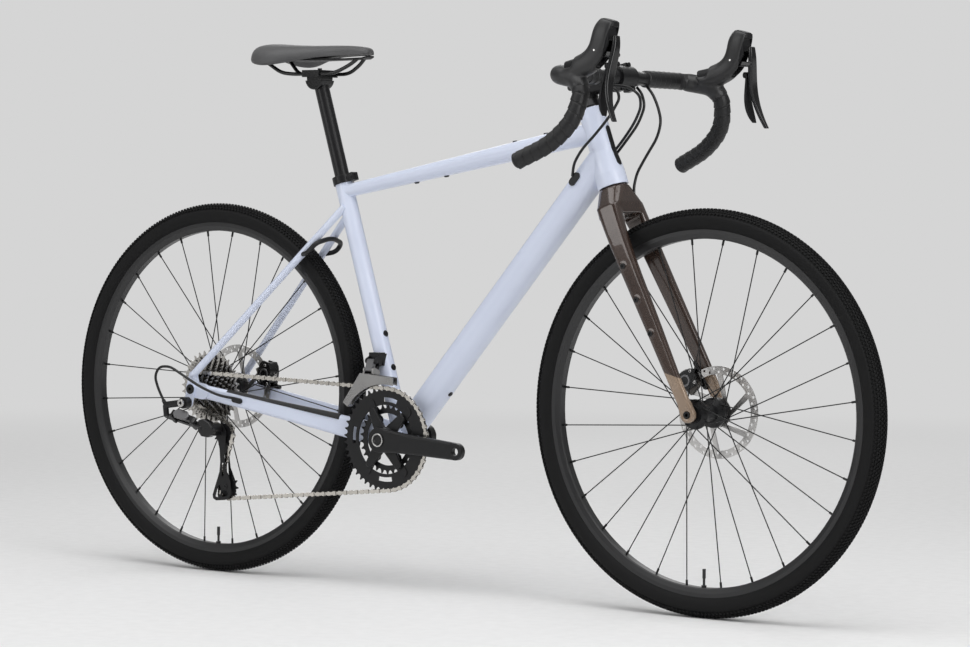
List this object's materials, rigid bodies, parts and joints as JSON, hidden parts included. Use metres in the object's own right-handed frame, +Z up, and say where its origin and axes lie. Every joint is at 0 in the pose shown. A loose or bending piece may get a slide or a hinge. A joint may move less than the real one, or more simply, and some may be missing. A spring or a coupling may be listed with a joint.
{
  "type": "gravel bicycle",
  "caption": "Drop-bar gravel bicycle with disc brakes, knobbly tyres, two chainrings, derailleurs, integrated brake and shift levers, and a light frame with a dark fork.",
  "frame": {"origin": "on the ground halfway between the two axles, in the middle plane of the bike", "axes": "+X forward along the ground, +Y to the rider's left, +Z up; the drive side is at negative Y"},
  "size_m": [1.802, 0.5378, 1.0184],
  "materials": {
    "frame_paint": "gloss",
    "fork_paint": "gloss",
    "black_alloy": "satin",
    "silver_alloy": "satin",
    "steel": "satin",
    "black_steel": "satin",
    "tyre": "matte",
    "bar_tape": "matte",
    "hood_rubber": "matte",
    "black_plastic": "matte",
    "cable_jacket": "satin",
    "saddle_skin": "satin",
    "brake_pad": "matte"
  },
  "bodies": {
    "frame": {"head_tube": "frame_paint", "top_tube": "frame_paint", "down_tube": "frame_paint", "seat_tube": "frame_paint", "bottom_bracket_shell": "frame_paint", "chainstays": "frame_paint", "seatstays": "frame_paint", "dropouts": "frame_paint", "frame_bearings": "black_steel", "seat_clamp": "black_alloy", "rear_axle": "black_steel", "frame_fittings": "black_plastic", "rear_brake_caliper": "black_alloy", "front_mech_body": "silver_alloy", "chain": "steel", "control_cables": "cable_jacket"},
    "steering": {"fork": "fork_paint", "front_axle": "black_steel", "stem": "black_alloy", "handlebar": "black_alloy", "bar_tape": "bar_tape", "shifter_bodies": "black_plastic", "lever_hoods": "hood_rubber", "front_brake_caliper": "black_alloy", "front_brake_hose": "cable_jacket"},
    "front_wheel": {"front_tyre": "tyre", "front_rim": "black_alloy", "front_spokes": "black_steel", "front_hub": "black_alloy", "front_rotor": "steel"},
    "rear_wheel": {"rear_tyre": "tyre", "rear_rim": "black_alloy", "rear_spokes": "black_steel", "rear_hub": "black_alloy", "rear_rotor": "steel"},
    "cassette": {"cassette": "steel"},
    "crank": {"crank_arms": "black_alloy", "chainrings": "black_alloy"},
    "front_mech_outer": {"front_mech_outer_link": "silver_alloy"},
    "front_mech_inner": {"front_mech_inner_link": "silver_alloy"},
    "front_mech_cage": {"front_mech_cage": "silver_alloy"},
    "rear_mech_b": {"rear_mech_b_knuckle": "black_alloy"},
    "rear_mech_outer": {"rear_mech_outer_link": "black_alloy"},
    "rear_mech_inner": {"rear_mech_inner_link": "black_alloy"},
    "rear_mech_p": {"rear_mech_p_knuckle": "black_alloy"},
    "rear_mech_cage": {"rear_mech_cage": "black_alloy"},
    "guide_pulley": {"guide_pulley": "black_plastic"},
    "tension_pulley": {"tension_pulley": "black_plastic"},
    "lever_right": {"brake_lever_right": "black_alloy"},
    "lever_left": {"brake_lever_left": "black_alloy"},
    "paddle_right": {"shift_paddle_right": "black_plastic"},
    "paddle_left": {"shift_paddle_left": "black_plastic"},
    "front_pad_inner": {"front_pad_inner": "brake_pad"},
    "front_pad_outer": {"front_pad_outer": "brake_pad"},
    "rear_pad_inner": {"rear_pad_inner": "brake_pad"},
    "rear_pad_outer": {"rear_pad_outer": "brake_pad"},
    "seatpost": {"seatpost": "black_alloy"},
    "saddle": {"saddle_rails": "black_steel", "saddle_base": "black_plastic", "saddle_cover": "saddle_skin"}
  },
  "joints": [
    {"name": "steering", "type": "hinge", "parent": "frame", "child": "steering", "pos_m": [0.50114, 0, 0.33321], "axis": [-0.342, 0, 0.9397], "range_deg": [-70, 70], "deforming": ["control_cables"]},
    {"name": "front_wheel_spin", "type": "hinge", "parent": "steering", "child": "front_wheel", "pos_m": [0.55, 0, 0.351], "axis": [0, 1, 0], "continuous": true},
    {"name": "rear_wheel_spin", "type": "hinge", "parent": "frame", "child": "rear_wheel", "pos_m": [-0.55, 0, 0.351], "axis": [0, 1, 0], "continuous": true},
    {"name": "crank_spin", "type": "hinge", "parent": "frame", "child": "crank", "pos_m": [-0.10629, 0, 0.276], "axis": [0, 1, 0], "continuous": true, "deforming": ["chain"]},
    {"name": "cassette_spin", "type": "hinge", "parent": "frame", "child": "cassette", "pos_m": [-0.55, 0, 0.351], "axis": [0, 1, 0], "continuous": true, "deforming": ["chain"]},
    {"name": "front_mech_swing", "type": "hinge", "parent": "frame", "child": "front_mech_outer", "pos_m": [-0.15, -0.038, 0.417], "axis": [1, 0, 0], "range_deg": [0, 22], "deforming": ["chain"]},
    {"name": "front_mech_inner_pivot", "type": "hinge", "parent": "frame", "child": "front_mech_inner", "pos_m": [-0.15, -0.027, 0.412], "axis": [1, 0, 0], "range_deg": [0, 22], "deforming": ["chain"]},
    {"name": "front_mech_cage_pivot", "type": "hinge", "parent": "front_mech_outer", "child": "front_mech_cage", "pos_m": [-0.15, -0.04381, 0.40103], "axis": [1, 0, 0], "range_deg": [-22, 0], "deforming": ["chain"]},
    {"name": "rear_mech_hanger_pivot", "type": "hinge", "parent": "frame", "child": "rear_mech_b", "pos_m": [-0.556, -0.0835, 0.325], "axis": [0, 1, 0], "range_deg": [0, 20], "stiffness_Nm_per_rad": 3, "springref_deg": -28.65, "deforming": ["chain", "control_cables"]},
    {"name": "rear_mech_shift", "type": "hinge", "parent": "rear_mech_b", "child": "rear_mech_outer", "pos_m": [-0.582, -0.095, 0.304], "axis": [0.1638, 0.6157, 0.7708], "range_deg": [-12, 38], "deforming": ["chain"]},
    {"name": "rear_mech_inner_pivot", "type": "hinge", "parent": "rear_mech_b", "child": "rear_mech_inner", "pos_m": [-0.58405, -0.08239, 0.29436], "axis": [0.1638, 0.6157, 0.7708], "range_deg": [-12, 38], "deforming": ["chain"]},
    {"name": "rear_mech_knuckle_pivot", "type": "hinge", "parent": "rear_mech_outer", "child": "rear_mech_p", "pos_m": [-0.53114, -0.095, 0.29319], "axis": [0.1638, 0.6157, 0.7708], "range_deg": [-38, 12], "deforming": ["chain"]},
    {"name": "rear_mech_cage_pivot", "type": "hinge", "parent": "rear_mech_p", "child": "rear_mech_cage", "pos_m": [-0.499, -0.064, 0.277], "axis": [0, 1, 0], "range_deg": [-40, 12], "stiffness_Nm_per_rad": 1.5, "deforming": ["chain"]},
    {"name": "guide_pulley_spin", "type": "hinge", "parent": "rear_mech_cage", "child": "guide_pulley", "pos_m": [-0.489, -0.05552, 0.268], "axis": [0, 1, 0], "continuous": true, "deforming": ["chain"]},
    {"name": "tension_pulley_spin", "type": "hinge", "parent": "rear_mech_cage", "child": "tension_pulley", "pos_m": [-0.47834, -0.05552, 0.16857], "axis": [0, 1, 0], "continuous": true, "deforming": ["chain"]},
    {"name": "right_lever", "type": "hinge", "parent": "steering", "child": "lever_right", "pos_m": [0.47345, -0.212, 0.95866], "axis": [0, 1, 0], "range_deg": [0, 18], "stiffness_Nm_per_rad": 0.5, "springref_deg": -22.92},
    {"name": "left_lever", "type": "hinge", "parent": "steering", "child": "lever_left", "pos_m": [0.47345, 0.212, 0.95866], "axis": [0, 1, 0], "range_deg": [0, 18], "stiffness_Nm_per_rad": 0.5, "springref_deg": -22.92},
    {"name": "right_paddle", "type": "hinge", "parent": "lever_right", "child": "paddle_right", "pos_m": [0.49045, -0.217, 0.93766], "axis": [1, 0, 0], "range_deg": [0, 20], "stiffness_Nm_per_rad": 0.08, "springref_deg": -22.92},
    {"name": "left_paddle", "type": "hinge", "parent": "lever_left", "child": "paddle_left", "pos_m": [0.49045, 0.217, 0.93766], "axis": [-1, 0, 0], "range_deg": [0, 20], "stiffness_Nm_per_rad": 0.08, "springref_deg": -22.92},
    {"name": "front_pad_inner_slide", "type": "slide", "parent": "steering", "child": "front_pad_inner", "axis": [0, 1, 0], "range_m": [0, 0.00035]},
    {"name": "front_pad_outer_slide", "type": "slide", "parent": "steering", "child": "front_pad_outer", "axis": [0, -1, 0], "range_m": [0, 0.00035]},
    {"name": "rear_pad_inner_slide", "type": "slide", "parent": "frame", "child": "rear_pad_inner", "axis": [0, 1, 0], "range_m": [0, 0.00035]},
    {"name": "rear_pad_outer_slide", "type": "slide", "parent": "frame", "child": "rear_pad_outer", "axis": [0, -1, 0], "range_m": [0, 0.00035]},
    {"name": "seatpost_height", "type": "slide", "parent": "frame", "child": "seatpost", "axis": [-0.2924, 0, 0.9563], "range_m": [-0.1, 0.05]},
    {"name": "saddle_tilt", "type": "hinge", "parent": "seatpost", "child": "saddle", "pos_m": [-0.30803, 0, 0.93585], "axis": [0, 1, 0], "range_deg": [-8, 8]}
  ],
  "couplings": [
    {"joint": "cassette_spin", "follows": "crank_spin", "ratio": 3.0667},
    {"joint": "guide_pulley_spin", "follows": "crank_spin", "ratio": -4.1818},
    {"joint": "tension_pulley_spin", "follows": "crank_spin", "ratio": 4.1818},
    {"joint": "front_mech_inner_pivot", "follows": "front_mech_swing", "ratio": 1},
    {"joint": "front_mech_cage_pivot", "follows": "front_mech_swing", "ratio": -1},
    {"joint": "rear_mech_inner_pivot", "follows": "rear_mech_shift", "ratio": 1},
    {"joint": "rear_mech_knuckle_pivot", "follows": "rear_mech_shift", "ratio": -1},
    {"joint": "front_pad_inner_slide", "follows": "left_lever", "m_per_rad": 0.001113},
    {"joint": "front_pad_outer_slide", "follows": "left_lever", "m_per_rad": 0.001113},
    {"joint": "rear_pad_inner_slide", "follows": "right_lever", "m_per_rad": 0.001113},
    {"joint": "rear_pad_outer_slide", "follows": "right_lever", "m_per_rad": 0.001113}
  ]
}
